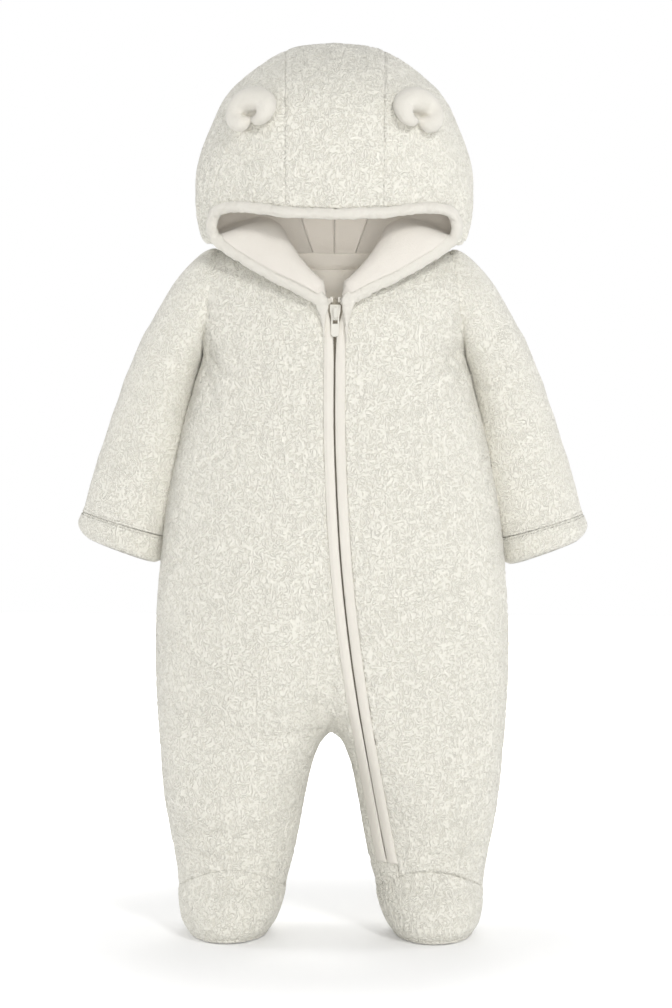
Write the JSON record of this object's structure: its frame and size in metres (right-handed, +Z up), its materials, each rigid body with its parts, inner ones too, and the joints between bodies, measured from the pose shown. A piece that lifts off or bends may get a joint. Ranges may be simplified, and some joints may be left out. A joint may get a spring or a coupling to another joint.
{
  "type": "hooded all-in-one",
  "caption": "Baby's hooded all-in-one in pile fleece with rolled ears, long sleeves, closed feet and a zip that runs from the neck down one leg",
  "frame": {"origin": "the middle of the wearer's neck at shoulder height, where the wearer holds the garment up", "axes": "+X to the wearer's left, +Y behind the wearer, +Z up from the feet to the hood"},
  "size_m": [0.4098, 0.1633, 0.707],
  "materials": {
    "fleece": "matte",
    "lining": "matte",
    "facing": "matte",
    "tape": "matte",
    "plastic": "satin"
  },
  "bodies": {
    "garment": {"front_right": "fleece", "front_left": "fleece", "back": "fleece", "sleeve_right": "fleece", "sleeve_left": "fleece", "cuff_right": "fleece", "cuff_left": "fleece", "foot_right": "fleece", "foot_left": "fleece", "sole_right": "fleece", "sole_left": "fleece", "hood_side_right": "fleece", "hood_side_left": "fleece", "hood_centre": "fleece", "hood_hem": "fleece", "ear_right": "facing", "ear_left": "facing", "zip_tape": "tape", "zip_slider": "plastic", "hood_lining_side_right": "lining", "hood_lining_side_left": "lining", "hood_lining_right": "lining", "hood_lining_left": "lining", "neck_tape": "tape", "back_neck_lining": "lining", "zip_facing_right": "facing", "zip_facing_left": "facing", "zip_coil": "plastic", "zip_stop_right": "plastic", "zip_stop_left": "plastic", "zip_end_patch": "fleece"},
    "zip_pull": {"zip_pull": "plastic"}
  },
  "joints": [
    {"name": "pull_hinge", "type": "hinge", "parent": "garment", "child": "zip_pull", "pos_m": [0.00112, -0.05913, -0.05606], "axis": [-1, 0, 0], "range_deg": [0, 140]}
  ]
}
